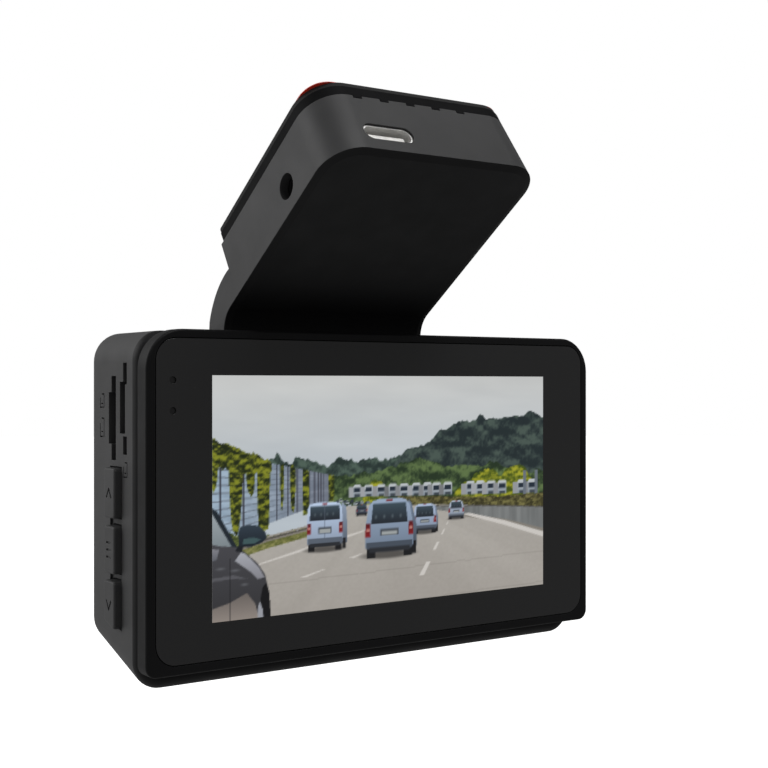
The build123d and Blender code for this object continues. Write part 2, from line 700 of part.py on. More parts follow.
def barrel():
    """The hinge barrel at the foot of the neck, cleared for the bottom cover's lower edge."""
    left = MOUNT_X - MOUNT_W / 2
    bar = rod_x(BARREL_R, left, left + MOUNT_W, HINGE_Y, HINGE_Z)
    half = MOUNT_W / 2 - MOUNT_WALL
    return bar - block(MOUNT_X - half, MOUNT_X + half, 0, NECK_REAR + COVER_PLUG_T, NECK_END_Z, HINGE_Z + 9)


MOUNT_SCREW_SPOTS = [(-15.3, 4.7), (15.3, 4.7), (-15.6, 29.0), (15.6, 29.0)]
MOUNT_WALL = 1.7


def make_mount_shell():
    half = MOUNT_W / 2
    inner = half - MOUNT_WALL
    roof = MOUNT_SHELL_T - 1.5
    shell = mount_form()
    shell -= mount_tablet(inner, MOUNT_WALL, MOUNT_L - 2.5, MOUNT_END_R - MOUNT_WALL, 1.0, -1, roof)
    shell -= rear_band(-1, COVER_PLUG_T, inner, 20)
    shell -= rear_band(COVER_PLUG_T - 0.1, COVER_PLUG_T + 1.5, 8.0, 28, HINGE_Z + 4.25)
    shell += barrel()
    shell -= rod_x(SHAFT_R + 0.03, MOUNT_X - half - 1, MOUNT_X + half + 1, HINGE_Y, HINGE_Z)
    shell -= MOUNT.location * usb_outline(1.5, -1, 3)
    shell -= MOUNT.location * rod_x(2.0, -half - 1, -half + 4, JACK_RUN, JACK_LIFT)
    for x, s in MOUNT_SCREW_SPOTS:
        shell -= MOUNT.location * rod_z(0.95, 5, MOUNT_SHELL_T + 1, x, s)
        shell -= MOUNT.location * rod_z(1.8, MOUNT_SHELL_T - 0.9, MOUNT_SHELL_T + 1, x, s)
    for x in PLATE_TAB_XS:
        shell -= mount_block(x - 0.8, x + 0.8, -1, 1.1, MOUNT_SHELL_T - 0.5, MOUNT_SHELL_T + 1)
    return shell


def usb_outline(r, s0, s1):
    """The round-ended outline of a USB-C opening, drawn out along the mount."""
    half_run = 4.47 - 1.6
    body = block(USB_X - half_run, USB_X + half_run, s0, s1, USB_LIFT - r, USB_LIFT + r)
    for side in (-1, 1):
        body += rod_y(r, s0, s1, USB_X + side * half_run, USB_LIFT)
    return body


def cover_skin():
    """The outer sheet of the bottom cover: ramped at its sides and upper end, bent down at the neck."""
    half = MOUNT_W / 2
    start, knee, middle, foot = rear_line(0)
    spine = Line(start, knee) + ThreePointArc(knee, middle, foot) + Line(foot, (foot[0], NECK_END_Z))
    spine = Pos(MOUNT_X, 0, 0) * (Plane.YZ * spine)
    across_start = Plane(origin=MOUNT.origin, x_dir=(1, 0, 0), z_dir=MOUNT.y_dir)
    flat = half - COVER_RAMP
    ramped = Polyline((-half, 0), (half, 0), (flat, COVER_RISE), (-flat, COVER_RISE),
                      close=True)
    skin = sweep(across_start * make_face(ramped), path=spine)
    outline = Pos(0, 30) * Rectangle(2 * half, 60)
    outline = fillet(outline.vertices().group_by(Axis.Y)[0], MOUNT_END_R)
    ramp = degrees(atan2(COVER_RAMP, COVER_RISE))
    end = MOUNT.location * extrude(outline, amount=-COVER_RISE, taper=ramp)
    lower = mount_block(-half - 1, half + 1, MOUNT_RAMP_END, 80, -30, 5)
    return (skin & end & mount_block(-half - 1, half + 1, -1, MOUNT_RAMP_END, -5, 5)) + (skin & lower)


MOUNT_RAMP_END = 30.0


def make_mount_bottom_cover():
    half = MOUNT_W / 2
    inner = half - MOUNT_WALL - 0.05
    plug_corner = MOUNT_END_R - MOUNT_WALL
    plug = rear_band(0, COVER_PLUG_T, inner, MOUNT_WALL + 0.05)
    plug &= mount_tablet(inner, MOUNT_WALL + 0.05, 70, plug_corner, 1.0, -20, 5)
    cover = cover_skin() + plug
    for x, s in MOUNT_SCREW_SPOTS:
        cover += MOUNT.location * (rod_z(1.7, 1.0, 8.95, x, s) - rod_z(0.7, 3.5, 10, x, s))
    for x, s in BOARD_POSTS:
        cover += MOUNT.location * rod_z(1.1, 1.0, MOUNT_BOARD_T0, x, s)
    return cover


PLATE_TAB_XS = [-11.55 + 4.75 * k for k in range(5)]


def plate_half_width(t):
    """Half the drafted mount's width at a height t."""
    return MOUNT_W / 2 - t * tan(radians(MOUNT_DRAFT))


def make_windscreen_plate():
    half = plate_half_width(MOUNT_SHELL_T + 0.8)
    plate = mount_tablet(half, 0.0, MOUNT_L, MOUNT_END_R, 1.2, MOUNT_SHELL_T, MOUNT_SHELL_T + PLATE_T)
    for x in PLATE_TAB_XS:
        plate += mount_block(x - 0.7, x + 0.7, 0.0, 1.0, MOUNT_SHELL_T - 0.4, MOUNT_SHELL_T + 0.5)
    return plate


def make_adhesive_pad():
    half = plate_half_width(MOUNT_SHELL_T + 0.8) - 0.1
    t0 = MOUNT_SHELL_T + PLATE_T
    return mount_tablet(half, 0.1, MOUNT_L - 0.1, MOUNT_END_R, 1.1, t0, t0 + PAD_T)


def make_release_liner():
    """The peel-off film, stuck on a little to the left of the pad's middle."""
    half = plate_half_width(MOUNT_SHELL_T + 0.8) - 2.5 * LINER_INSET
    t0 = MOUNT_SHELL_T + PLATE_T + PAD_T
    liner = mount_tablet(half, LINER_INSET, MOUNT_L - LINER_INSET, LINER_R, 1.0, t0, t0 + LINER_T)
    return Pos(-1.5 * LINER_INSET, 0, 0) * liner


MOUNT_BOARD_T0 = 2.9
MOUNT_BOARD_T = 1.0
BOARD_POSTS = [(-12.5, 27.5), (11.5, 27.5), (11.5, 3.6)]


def make_mount_board():
    board = mount_block(-13.4, 13.4, 2.2, 31.0, MOUNT_BOARD_T0, MOUNT_BOARD_T0 + MOUNT_BOARD_T)
    board -= mount_block(USB_X - 4.9, USB_X + 4.9, 0, 7.6, 0, 9)
    board -= mount_block(-20, -5.8, JACK_RUN - 3.3, JACK_RUN + 3.3, 0, 9)
    return board


def make_usb_c_shell():
    """The port's drawn steel shell, open at the end face."""
    return MOUNT.location * (usb_outline(1.45, 0.35, 7.3) - usb_outline(1.2, -1, 6.7))


def make_usb_c_tongue():
    tongue = block(USB_X - 3.3, USB_X + 3.3, 1.1, 6.7, USB_LIFT - 0.35, USB_LIFT + 0.35)
    return MOUNT.location * tongue


def make_av_jack():
    inner = -MOUNT_W / 2 + 1.9
    body = block(inner, inner + 11.4, JACK_RUN - 3.0, JACK_RUN + 3.0, 2.0, 6.6)
    body -= rod_x(JACK_R, inner - 1, inner + JACK_DEPTH, JACK_RUN, JACK_LIFT)
    return MOUNT.location * body


def make_gps_antenna():
    t0 = MOUNT_BOARD_T0 + MOUNT_BOARD_T
    patch = block(-4.6, 13.4, 9.5, 27.5, t0, t0 + 3.6)
    patch = chamfer(patch.edges().filter_by(Axis.Z), 1.2)
    return MOUNT.location * patch


def make_gps_element():
    t0 = MOUNT_BOARD_T0 + MOUNT_BOARD_T + 3.6
    return MOUNT.location * block(-2.6, 11.4, 11.5, 25.5, t0, t0 + 0.1)


def make_regulator():
    t0 = MOUNT_BOARD_T0 + MOUNT_BOARD_T
    coil = MOUNT.location * block(-12.6, -7.6, 20.0, 25.0, t0, t0 + 3.0)
    return fillet(coil.edges(), 0.5)


def make_mount_screws():
    screw = pan_screw(0.68, 1.6, 0.75, 5.6)
    top = MOUNT_SHELL_T - 0.9 - 5.6
    return Compound(children=[MOUNT.location * Pos(x, s, top) * screw for x, s in MOUNT_SCREW_SPOTS])


def make_power_ribbon():
    """The flat cable from the mount's board down the neck to the hinge."""
    return rear_band(COVER_PLUG_T + 0.5, COVER_PLUG_T + 0.75, 6.0, 29.5, HINGE_Z + 4.4)


def make_hinge_shaft():
    return rod_x(SHAFT_R, TROUGH_LEFT - 0.9, TROUGH_RIGHT + 2.9, HINGE_Y, HINGE_Z)


def make_friction_washers():
    washers = []
    for x in (TROUGH_LEFT + 0.05, TROUGH_RIGHT - 0.35):
        disc = rod_x(3.4, x, x + 0.3, HINGE_Y, HINGE_Z)
        washers.append(disc - rod_x(SHAFT_R + 0.05, x - 1, x + 1, HINGE_Y, HINGE_Z))
    return Compound(children=washers)


# ---------- write the parts ----------
NODES = {
    "housing": make_housing,
    "rear_cover": make_rear_cover,
    "cover_glass": make_cover_glass,
    "display_panel": make_display_panel,
    "display_backlight": make_display_backlight,
    "display_cable": make_display_cable,
    "status_lights": make_status_lights,
    "case_screws": make_case_screws,
    "main_board": make_main_board,
    "display_connector": make_display_connector,
    "processor": make_processor,
    "thermal_pad": make_thermal_pad,
    "heat_sink": make_heat_sink,
    "memory_chips": make_memory_chips,
    "cellular_modem": make_modem,
    "cellular_antenna": make_cellular_antenna,
    "wifi_antenna": make_wifi_antenna,
    "sim_card_reader": make_sim_reader,
    "memory_card_reader": make_memory_reader,
    "button_switches": make_button_switches,
    "backup_cells": make_backup_cells,
    "speaker": make_speaker,
    "speaker_gasket": make_speaker_gasket,
    "microphone": make_microphone,
    "board_screws": make_board_screws,
    "sensor_board": make_sensor_board,
    "image_sensor": make_image_sensor,
    "infrared_filter": make_infrared_filter,
    "lens_holder": make_lens_holder,
    "sensor_screws": make_sensor_screws,
    "lens_barrel": make_lens_barrel,
    "inner_lenses": make_inner_lenses,
    "front_lens": make_front_lens,
    "lens_ring": make_lens_ring,
    "hinge_shaft": make_hinge_shaft,
    "mount_shell": make_mount_shell,
    "mount_bottom_cover": make_mount_bottom_cover,
    "windscreen_plate": make_windscreen_plate,
    "adhesive_pad": make_adhesive_pad,
    "release_liner": make_release_liner,
    "mount_board": make_mount_board,
    "usb_c_shell": make_usb_c_shell,
    "usb_c_tongue": make_usb_c_tongue,
    "av_jack": make_av_jack,
    "gps_antenna": make_gps_antenna,
    "gps_element": make_gps_element,
    "power_regulator": make_regulator,
    "mount_screws": make_mount_screws,
    "power_ribbon": make_power_ribbon,
    "friction_washers": make_friction_washers,
}
for button in BUTTON_SPANS:
    NODES[button] = lambda button=button: make_button(button)


def main():
    os.makedirs("parts", exist_ok=True)
    pad_y, pad_z = mount_point(MOUNT_L / 2, PAD_FACE)
    to_row = Pos(-MOUNT_X, -pad_y, -pad_z)
    for node, make in NODES.items():
        export_step(to_row * make(), f"parts/{node}.step")


main()
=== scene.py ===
"""Looks for a dash camera on its windscreen mount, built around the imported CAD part. Metres, Z up."""
import json
import math

import bpy
import bmesh
import numpy as np
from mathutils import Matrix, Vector


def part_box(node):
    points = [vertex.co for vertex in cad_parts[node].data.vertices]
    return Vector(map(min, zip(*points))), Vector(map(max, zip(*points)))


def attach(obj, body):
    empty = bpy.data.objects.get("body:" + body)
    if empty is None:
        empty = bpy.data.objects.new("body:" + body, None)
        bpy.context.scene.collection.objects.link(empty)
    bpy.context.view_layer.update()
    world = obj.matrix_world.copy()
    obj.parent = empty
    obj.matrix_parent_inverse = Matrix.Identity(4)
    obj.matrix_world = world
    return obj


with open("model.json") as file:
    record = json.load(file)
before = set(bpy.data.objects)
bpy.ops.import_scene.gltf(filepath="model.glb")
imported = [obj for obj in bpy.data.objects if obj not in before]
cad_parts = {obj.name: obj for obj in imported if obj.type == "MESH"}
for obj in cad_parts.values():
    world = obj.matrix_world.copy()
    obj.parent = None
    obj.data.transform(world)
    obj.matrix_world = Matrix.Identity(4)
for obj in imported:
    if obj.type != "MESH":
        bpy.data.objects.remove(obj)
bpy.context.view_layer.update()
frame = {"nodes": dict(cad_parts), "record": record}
NODES = frame["nodes"]
MM = 0.001


# ---------- node helpers ----------
class Finish:
    """A Principled material with the procedural inputs that its surfaces share."""

    def __init__(self, name, colour, roughness, metallic=0.0):
        self.material = bpy.data.materials.new(name)
        self.material.use_nodes = True
        self.tree = self.material.node_tree
        self.shader = self.tree.nodes["Principled BSDF"]
        self.coords = self.node("TexCoord").outputs["Object"]
        self.colour = (*colour, 1.0)
        self.set("Base Color", self.colour)
        self.set("Roughness", roughness)
        self.set("Metallic", metallic)

    def set(self, socket, value):
        self.shader.inputs[socket].default_value = value
        return self

    def node(self, kind, **settings):
        made = self.tree.nodes.new("ShaderNode" + kind)
        for key, value in settings.items():
            setattr(made, key, value)
        return made

    def link(self, a, b):
        self.tree.links.new(a, b)

    def stretched(self, scale):
        """The object's coordinates, scaled along each axis."""
        mapping = self.node("Mapping")
        mapping.inputs["Scale"].default_value = scale
        self.link(self.coords, mapping.inputs["Vector"])
        return mapping.outputs["Vector"]

    def noise(self, size, detail=2.0, stretch=(1, 1, 1), roughness=0.5):
        """Noise whose features are about size metres across."""
        made = self.node("TexNoise")
        made.inputs["Scale"].default_value = 1.0 / size
        made.inputs["Detail"].default_value = detail
        made.inputs["Roughness"].default_value = roughness
        self.link(self.stretched(stretch), made.inputs["Vector"])
        return made.outputs["Fac"]

    def remap(self, value, low, high, from_low=0.3, from_high=0.7):
        made = self.node("MapRange", clamp=True)
        made.inputs["From Min"].default_value = from_low
        made.inputs["From Max"].default_value = from_high
        made.inputs["To Min"].default_value = low
        made.inputs["To Max"].default_value = high
        self.link(value, made.inputs["Value"])
        return made.outputs["Result"]

    def mix(self, factor, first, second):
        """A colour between two, each a tuple or a socket."""
        made = self.node("Mix", data_type="RGBA")
        self.link(factor, made.inputs[0])
        for socket, value in ((made.inputs[6], first), (made.inputs[7], second)):
            if isinstance(value, tuple):
                socket.default_value = value
            else:
                self.link(value, socket)
        return made.outputs[2]

    def edges(self, radius):
        """1 along convex and concave edges, 0 on the faces."""
        bevel = self.node("Bevel", samples=4)
        bevel.inputs["Radius"].default_value = radius
        facing = self.node("VectorMath", operation="DOT_PRODUCT")
        self.link(bevel.outputs["Normal"], facing.inputs[0])
        self.link(self.node("NewGeometry").outputs["Normal"], facing.inputs[1])
        return self.remap(facing.outputs["Value"], 1.0, 0.0, 0.80, 0.995)

    def bump(self, height, depth, radius=0.0):
        """Bump of a real depth in metres, over edges softened by a small radius."""
        made = self.node("Bump")
        made.inputs["Strength"].default_value = 1.0
        made.inputs["Distance"].default_value = depth
        self.link(height, made.inputs["Height"])
        if radius:
            bevel = self.node("Bevel", samples=4)
            bevel.inputs["Radius"].default_value = radius
            self.link(bevel.outputs["Normal"], made.inputs["Normal"])
        self.link(made.outputs["Normal"], self.shader.inputs["Normal"])
        return self

    def vary_colour(self, factor, second):
        self.link(self.mix(factor, self.colour, (*second, 1.0)), self.shader.inputs["Base Color"])
        return self

    def vary_roughness(self, factor, low, high, from_low=0.3, from_high=0.7):
        self.link(self.remap(factor, low, high, from_low, from_high), self.shader.inputs["Roughness"])
        return self


def scaled(colour, gain):
    return tuple(min(1.0, c * gain) for c in colour)


# ---------- materials, one for each slot of the record ----------
# painted shade: between these two distances from the housing's rear edge its plastic is coloured black, for
# the shade in the waist at the rear cover
WAIST_SHADE_START = 2.7 * MM           # from the housing's rear edge, which is hidden in the cover
WAIST_SHADE_END = 2.85 * MM
WAIST_SHADE_BLACK = (0.004, 0.004, 0.0045, 1.0)
EDGE_HIGHLIGHT_REACH = 0.25 * MM             # how far from an edge the plastic's colour is lightened, a painted edge highlight


def moulded_plastic(name, colour, rough, grain=0.16 * MM, depth=0.012 * MM, edge=0.12 * MM,
                    wear_and_edge_highlight=1.5, gloss=0.2):
    """Spark-textured moulded plastic: a fine grain, soft handling marks and a painted highlight along its
    edges.
    """
    finish = Finish(name, colour, rough)
    finish.set("Specular IOR Level", gloss)
    # painted highlight: the colour is lighter along every edge, convex and concave, by the gain given for
    # it
    edge_highlight_mask = finish.edges(EDGE_HIGHLIGHT_REACH)
    flow = finish.noise(14 * MM, 3.0)
    darker, lighter, edge_highlight_tone = [(*scaled(colour, gain), 1.0) for gain in (0.9, 1.1, wear_and_edge_highlight)]
    tone = finish.mix(finish.remap(flow, 0.0, 1.0), darker, lighter)
    finish.link(finish.mix(edge_highlight_mask, tone, edge_highlight_tone), finish.shader.inputs["Base Color"])
    finish.vary_roughness(finish.noise(5 * MM, 4.0), rough - 0.05, rough + 0.05)
    finish.bump(finish.noise(grain, 2.0), depth, edge)
    return finish


def case_plastic():
    """The housing's plastic, with painted shade in the waist where it meets the rear cover: a band coloured
    black.
    """
    finish = moulded_plastic("case_plastic", (0.056, 0.056, 0.057), 0.52)
    along = finish.node("SeparateXYZ")
    finish.link(finish.coords, along.inputs["Vector"])
    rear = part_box("housing")[0].y
    # painted shade: the colour goes to black towards the rear edge, for the shade in the waist
    rim = finish.remap(along.outputs["Y"], 1.0, 0.0, rear + WAIST_SHADE_START, rear + WAIST_SHADE_END)
    body = finish.shader.inputs["Base Color"].links[0].from_socket
    finish.link(finish.mix(rim, body, WAIST_SHADE_BLACK), finish.shader.inputs["Base Color"])
    return finish


def cover_plastic():
    return moulded_plastic("cover_plastic", (0.009, 0.009, 0.0095), 0.5, depth=0.008 * MM, gloss=0.12)


def button_plastic():
    return moulded_plastic("button_plastic", (0.052, 0.052, 0.053), 0.5, edge=0.15 * MM, wear_and_edge_highlight=1.6)


def mount_plastic():
    return moulded_plastic("mount_plastic", (0.050, 0.050, 0.051), 0.5)


def mount_cover_plastic():
    return moulded_plastic("mount_cover_plastic", (0.012, 0.012, 0.0125), 0.55, edge=0.1 * MM, gloss=0.14)


def plate_plastic():
    return moulded_plastic("plate_plastic", (0.0065, 0.0065, 0.007), 0.6, gloss=0.04, wear_and_edge_highlight=1.1)


def chip_black():
    return moulded_plastic("chip_black", (0.02, 0.02, 0.021), 0.55, grain=0.08 * MM, depth=0.006 * MM)


def cover_glass():
    """Glass printed black from behind: a deep gloss with faint smears."""
    finish = Finish("cover_glass", (0.021, 0.021, 0.0215), 0.08)
    finish.set("IOR", 1.5)
    smears = finish.noise(18 * MM, 5.0, (1.0, 1.0, 2.4), 0.6)
    finish.vary_roughness(smears, 0.07, 0.16, 0.35, 0.75)
    dust = finish.remap(finish.noise(0.35 * MM, 2.0), 0.0, 1.0, 0.70, 0.80)
    return finish.vary_colour(dust, (0.030, 0.030, 0.031)).bump(smears, 0.002 * MM, 0.12 * MM)


def lens_glass():
    """Coated lens glass, dark violet where it reflects."""
    finish = Finish("lens_glass", (0.012, 0.014, 0.03), 0.03)
    finish.set("IOR", 1.6).set("Coat Weight", 1.0).set("Coat Roughness", 0.02)
    finish.set("Coat Tint", (0.55, 0.45, 0.9, 1.0)).set("Specular Tint", (0.5, 0.6, 1.0, 1.0))
    rings = finish.noise(9 * MM, 2.0)
    finish.vary_colour(finish.remap(rings, 0.0, 1.0), (0.02, 0.012, 0.035))
    return finish.vary_roughness(rings, 0.02, 0.05)


def sensor_dark():
    finish = Finish("sensor_dark", (0.012, 0.02, 0.035), 0.12)
    cells = finish.noise(0.2 * MM, 1.0)
    finish.vary_colour(finish.remap(cells, 0.0, 1.0), (0.03, 0.025, 0.05))
    return finish.vary_roughness(cells, 0.08, 0.16)


def light_pipe():
    """An unlit status light's window, smoked clear plastic."""
    finish = Finish("light_pipe", (0.004, 0.004, 0.0045), 0.35)
    cloud = finish.noise(0.5 * MM, 2.0)
    finish.vary_colour(finish.remap(cloud, 0.0, 1.0), (0.008, 0.008, 0.009))
    return finish.vary_roughness(cloud, 0.3, 0.4)


def metal(name, colour, rough, stretch=(1, 14, 14), metallic=1.0):
    """Drawn or turned metal, with fine marks along one axis and a few darker smudges."""
    finish = Finish(name, colour, rough, metallic)
    marks = finish.noise(0.6 * MM, 3.0, stretch)
    smudge = finish.noise(3 * MM, 3.0)
    finish.vary_colour(finish.remap(smudge, 0.0, 1.0, 0.45, 0.75), scaled(colour, 0.72))
    return finish.vary_roughness(marks, rough - 0.06, rough + 0.08).bump(marks, 0.004 * MM, 0.05 * MM)


def steel():
    return metal("steel", (0.62, 0.61, 0.60), 0.24)


def port_steel():
    """The plug shell's bright nickel plate."""
    return metal("port_steel", (0.90, 0.89, 0.87), 0.45, (10, 1, 1), metallic=0.5)


def screw_steel():
    return metal("screw_steel", (0.03, 0.03, 0.032), 0.34, (1, 1, 1))


def aluminium():
    return metal("aluminium", (0.72, 0.73, 0.74), 0.4, (3, 1, 3))


def contact_metal():
    """The plug's contacts, bright and a little rough."""
    return metal("contact_metal", (0.92, 0.91, 0.88), 0.5, (10, 1, 1), metallic=0.3)


def silver_ink():
    return metal("silver_ink", (0.78, 0.77, 0.74), 0.42, (1, 1, 1))


def lens_metal():
    """Black anodised metal, with turning marks."""
    return metal("lens_metal", (0.02, 0.02, 0.022), 0.38, (6, 1, 6))


def board_green():
    """Solder mask over copper tracks."""
    finish = Finish("board_green", (0.008, 0.055, 0.025), 0.3)
    tracks = finish.node("TexBrick", offset=0.37, squash=1.6)
    tracks.inputs["Scale"].default_value = 520.0
    tracks.inputs["Mortar Size"].default_value = 0.03
    turned = finish.node("Mapping")
    turned.inputs["Rotation"].default_value = (math.radians(90), 0, 0)
    finish.link(finish.coords, turned.inputs["Vector"])
    finish.link(turned.outputs["Vector"], tracks.inputs["Vector"])
    finish.vary_colour(tracks.outputs["Fac"], (0.03, 0.12, 0.05))
    finish.vary_roughness(finish.noise(2 * MM, 2.0), 0.22, 0.36)
    return finish.bump(tracks.outputs["Fac"], 0.01 * MM)


def soft(name, colour, rough, pore):
    """Foam or rubber, pitted at the size of its pores."""
    finish = Finish(name, colour, rough)
    cells = finish.node("TexVoronoi", feature="F1")
    cells.inputs["Scale"].default_value = 1.0 / pore
    finish.link(finish.coords, cells.inputs["Vector"])
    pits = finish.remap(cells.outputs["Distance"], 0.0, 1.0, 0.0, 0.6)
    finish.vary_colour(pits, scaled(colour, 1.6)).vary_roughness(pits, rough - 0.1, rough)
    return finish.bump(pits, pore * 0.3)


def pad_foam():
    return soft("pad_foam", (0.016, 0.016, 0.016), 0.95, 0.12 * MM)


def soft_black():
    return soft("soft_black", (0.015, 0.015, 0.015), 0.9, 0.25 * MM)


def thermal_grey():
    return soft("thermal_grey", (0.33, 0.35, 0.38), 0.85, 0.15 * MM)


def film(name, colour, rough, streak):
    """Thin plastic film with faint streaks."""
    finish = Finish(name, colour, rough)
    finish.set("Coat Weight", 0.4).set("Coat Roughness", 0.12)
    lines = finish.noise(streak, 3.0, (1, 6, 1))
    finish.vary_colour(finish.remap(lines, 0.0, 1.0), scaled(colour, 0.82))
    return finish.vary_roughness(lines, rough - 0.05, rough + 0.08).bump(lines, 0.003 * MM)


def liner_red():
    return film("liner_red", (0.78, 0.045, 0.02), 0.3, 2.5 * MM)


def flex_amber():
    return film("flex_amber", (0.42, 0.17, 0.03), 0.28, 1.2 * MM)


def cell_sleeve():
    return film("cell_sleeve", (0.03, 0.06, 0.22), 0.32, 4 * MM)


def connector_ivory():
    return moulded_plastic("connector_ivory", (0.66, 0.62, 0.50), 0.4, wear_and_edge_highlight=1.1)


def white_tray():
    return moulded_plastic("white_tray", (0.78, 0.78, 0.75), 0.45, wear_and_edge_highlight=1.05)


def ceramic():
    """A fired patch, speckled like sand."""
    finish = Finish("ceramic", (0.52, 0.42, 0.28), 0.6)
    speckle = finish.noise(0.25 * MM, 3.0)
    finish.vary_colour(finish.remap(speckle, 0.0, 1.0), (0.38, 0.30, 0.19))
    return finish.vary_roughness(speckle, 0.5, 0.7).bump(speckle, 0.01 * MM, 0.08 * MM)


def display_face():
    """The display panel's own front, dark under the cover glass."""
    finish = Finish("display_face", (0.02, 0.021, 0.024), 0.25)
    cells = finish.noise(0.1 * MM, 1.0)
    finish.vary_colour(finish.remap(cells, 0.0, 1.0), (0.028, 0.029, 0.033))
    return finish.vary_roughness(cells, 0.2, 0.3)


FINISHES = (case_plastic, cover_plastic, button_plastic, cover_glass, display_face, white_tray,
            light_pipe, steel, screw_steel, board_green, chip_black, thermal_grey, aluminium,
            flex_amber, connector_ivory, cell_sleeve, soft_black, lens_glass, lens_metal,
            sensor_dark, mount_plastic, mount_cover_plastic, plate_plastic, pad_foam, liner_red,
            ceramic, silver_ink, contact_metal, port_steel)


def dress_frame():
    """Gives every CAD node its slot's material."""
    finishes = {make.__name__: make().material for make in FINISHES}
    for entry in frame["record"]["subparts"]:
        node = NODES[entry["node"]]
        if not node.material_slots:
            node.data.materials.append(None)
        for slot in node.material_slots:
            slot.material = finishes[entry["material_slot"]]


dress_frame()


# ---------- the picture on the display ----------
PICTURE_W, PICTURE_H = 66.4 * MM, 37.35 * MM
PICTURE_RISE = 5.725 * MM      # from the glass's lower edge
FILM_PROUD = 0.03 * MM         # how far the film stands out of the glass
CELL = 0.2 * MM                # one painted cell of the picture
SHARP = 2                      # samples across a cell, averaged so that edges are soft
WIDE, HIGH = 16.0, 9.0         # the picture's own units; the origin is its lower left corner
VANISH_X, VANISH_Y = 7.7, 4.25  # where the road's lines meet


class Picture:
    """A road scene painted by formula, in display colours from 0 to 1."""

    def __init__(self, columns, rows, seed=7):
        self.columns, self.rows = columns, rows
        x = (np.arange(columns * SHARP) + 0.5) * WIDE / (columns * SHARP)
        y = (np.arange(rows * SHARP) + 0.5) * HIGH / (rows * SHARP)
        self.x, self.y = np.meshgrid(x, y)
        self.rgb = np.zeros(self.x.shape + (3,))
        self.random = np.random.default_rng(seed)

    def noise(self, u, v, octaves=3):
        """Smooth noise from 0 to 1 over two coordinates, one feature to a unit."""
        total, weight, reach = np.zeros_like(u), 1.0, 0.0
        for _ in range(octaves):
            lattice = self.random.random((64, 64))
            i, j = np.floor(u).astype(int), np.floor(v).astype(int)
            fu, fv = u - i, v - j
            fu, fv = fu * fu * (3 - 2 * fu), fv * fv * (3 - 2 * fv)
            low = lattice[j % 64, i % 64] * (1 - fu) + lattice[j % 64, (i + 1) % 64] * fu
            high = lattice[(j + 1) % 64, i % 64] * (1 - fu) + lattice[(j + 1) % 64, (i + 1) % 64] * fu
            total += weight * (low * (1 - fv) + high * fv)
            reach += weight
            u, v, weight = u * 2.03 + 11.7, v * 2.03 + 5.3, weight * 0.55
        return total / reach

    def paint(self, mask, colour):
        """Lays a colour, or an array of colours, over the picture where mask is above 0."""
        cover = np.asarray(mask, float)[..., None]
        self.rgb = self.rgb * (1 - cover) + np.asarray(colour) * cover

    def inside(self, points):
        """True inside a closed outline."""
        hit = np.zeros(self.x.shape, bool)
        xs, ys = zip(*points)
        rows = slice(*np.searchsorted(self.y[:, 0], (min(ys), max(ys))))
        cols = slice(*np.searchsorted(self.x[0], (min(xs), max(xs))))
        x, y, part = self.x[rows, cols], self.y[rows, cols], hit[rows, cols]
        for (x0, y0), (x1, y1) in zip(points, points[1:] + points[:1]):
            if y0 != y1:
                part ^= ((y0 > y) != (y1 > y)) & (x < x0 + (y - y0) * (x1 - x0) / (y1 - y0))
        return hit

    def shape(self, points, colour, top=None, alpha=1.0):
        """A filled outline, which may fade to a second colour at its top."""
        mask = self.inside(points)
        if top is None:
            return self.paint(mask * alpha, colour)
        low, high = min(p[1] for p in points), max(p[1] for p in points)
        rise = np.clip((self.y - low) / (high - low), 0, 1)[..., None]
        self.paint(mask * alpha, np.asarray(colour) * (1 - rise) + np.asarray(top) * rise)

    def spot(self, x, y, rx, ry, colour, alpha=1.0, soft=0.2):
        """A soft-edged ellipse."""
        reach = np.hypot((self.x - x) / rx, (self.y - y) / ry)
        self.paint(np.clip((1 - reach) / soft, 0, 1) * alpha, colour)

    def leaves(self, mask, dark, light, size, gain=1.0):
        """Foliage: clumps that are lit from above, with small leaves in them."""
        clumps = self.noise(self.x / size / 3, self.y / size / 2.2, 2)
        relief = clumps - np.roll(clumps, -int(size / HIGH * self.rows * SHARP), axis=0)
        leaf = self.noise(self.x / size * 2.5, self.y / size * 2.5, 3)
        amount = 0.42 + gain * (1.1 * (clumps - 0.5) + 2.2 * relief + 1.4 * (leaf - 0.5))
        amount = np.clip(amount, 0, 1)[..., None]
        self.paint(mask, np.asarray(dark) * (1 - amount) + np.asarray(light) * amount)

    def ragged(self, size, depth):
        """A wavering height along x, for treetops and hanging leaves."""
        return (self.noise(self.x / size, self.x * 0 + self.random.random() * 50, 4) - 0.5) * depth

    def cells(self):
        """The picture averaged to one colour a cell, in linear light."""
        split = self.rgb.reshape(self.rows, SHARP, self.columns, SHARP, 3)
        shown = np.clip(split.mean(axis=(1, 3)), 0, 1)
        return np.where(shown <= 0.04045, shown / 12.92, ((shown + 0.055) / 1.055) ** 2.4)


def paint_sky(pic):
    x, y = pic.x, pic.y
    rise = np.clip((y - 4.5) / 4.5, 0, 1)[..., None]
    sky = np.array((0.70, 0.735, 0.765)) * (1 - rise) + np.array((0.765, 0.77, 0.765)) * rise
    cloud = pic.noise(x / 5.5 + y * 0.1, y / 1.1, 4)
    pic.rgb = sky + ((cloud - 0.5) * 0.075)[..., None] * np.array((1.0, 0.97, 0.9))


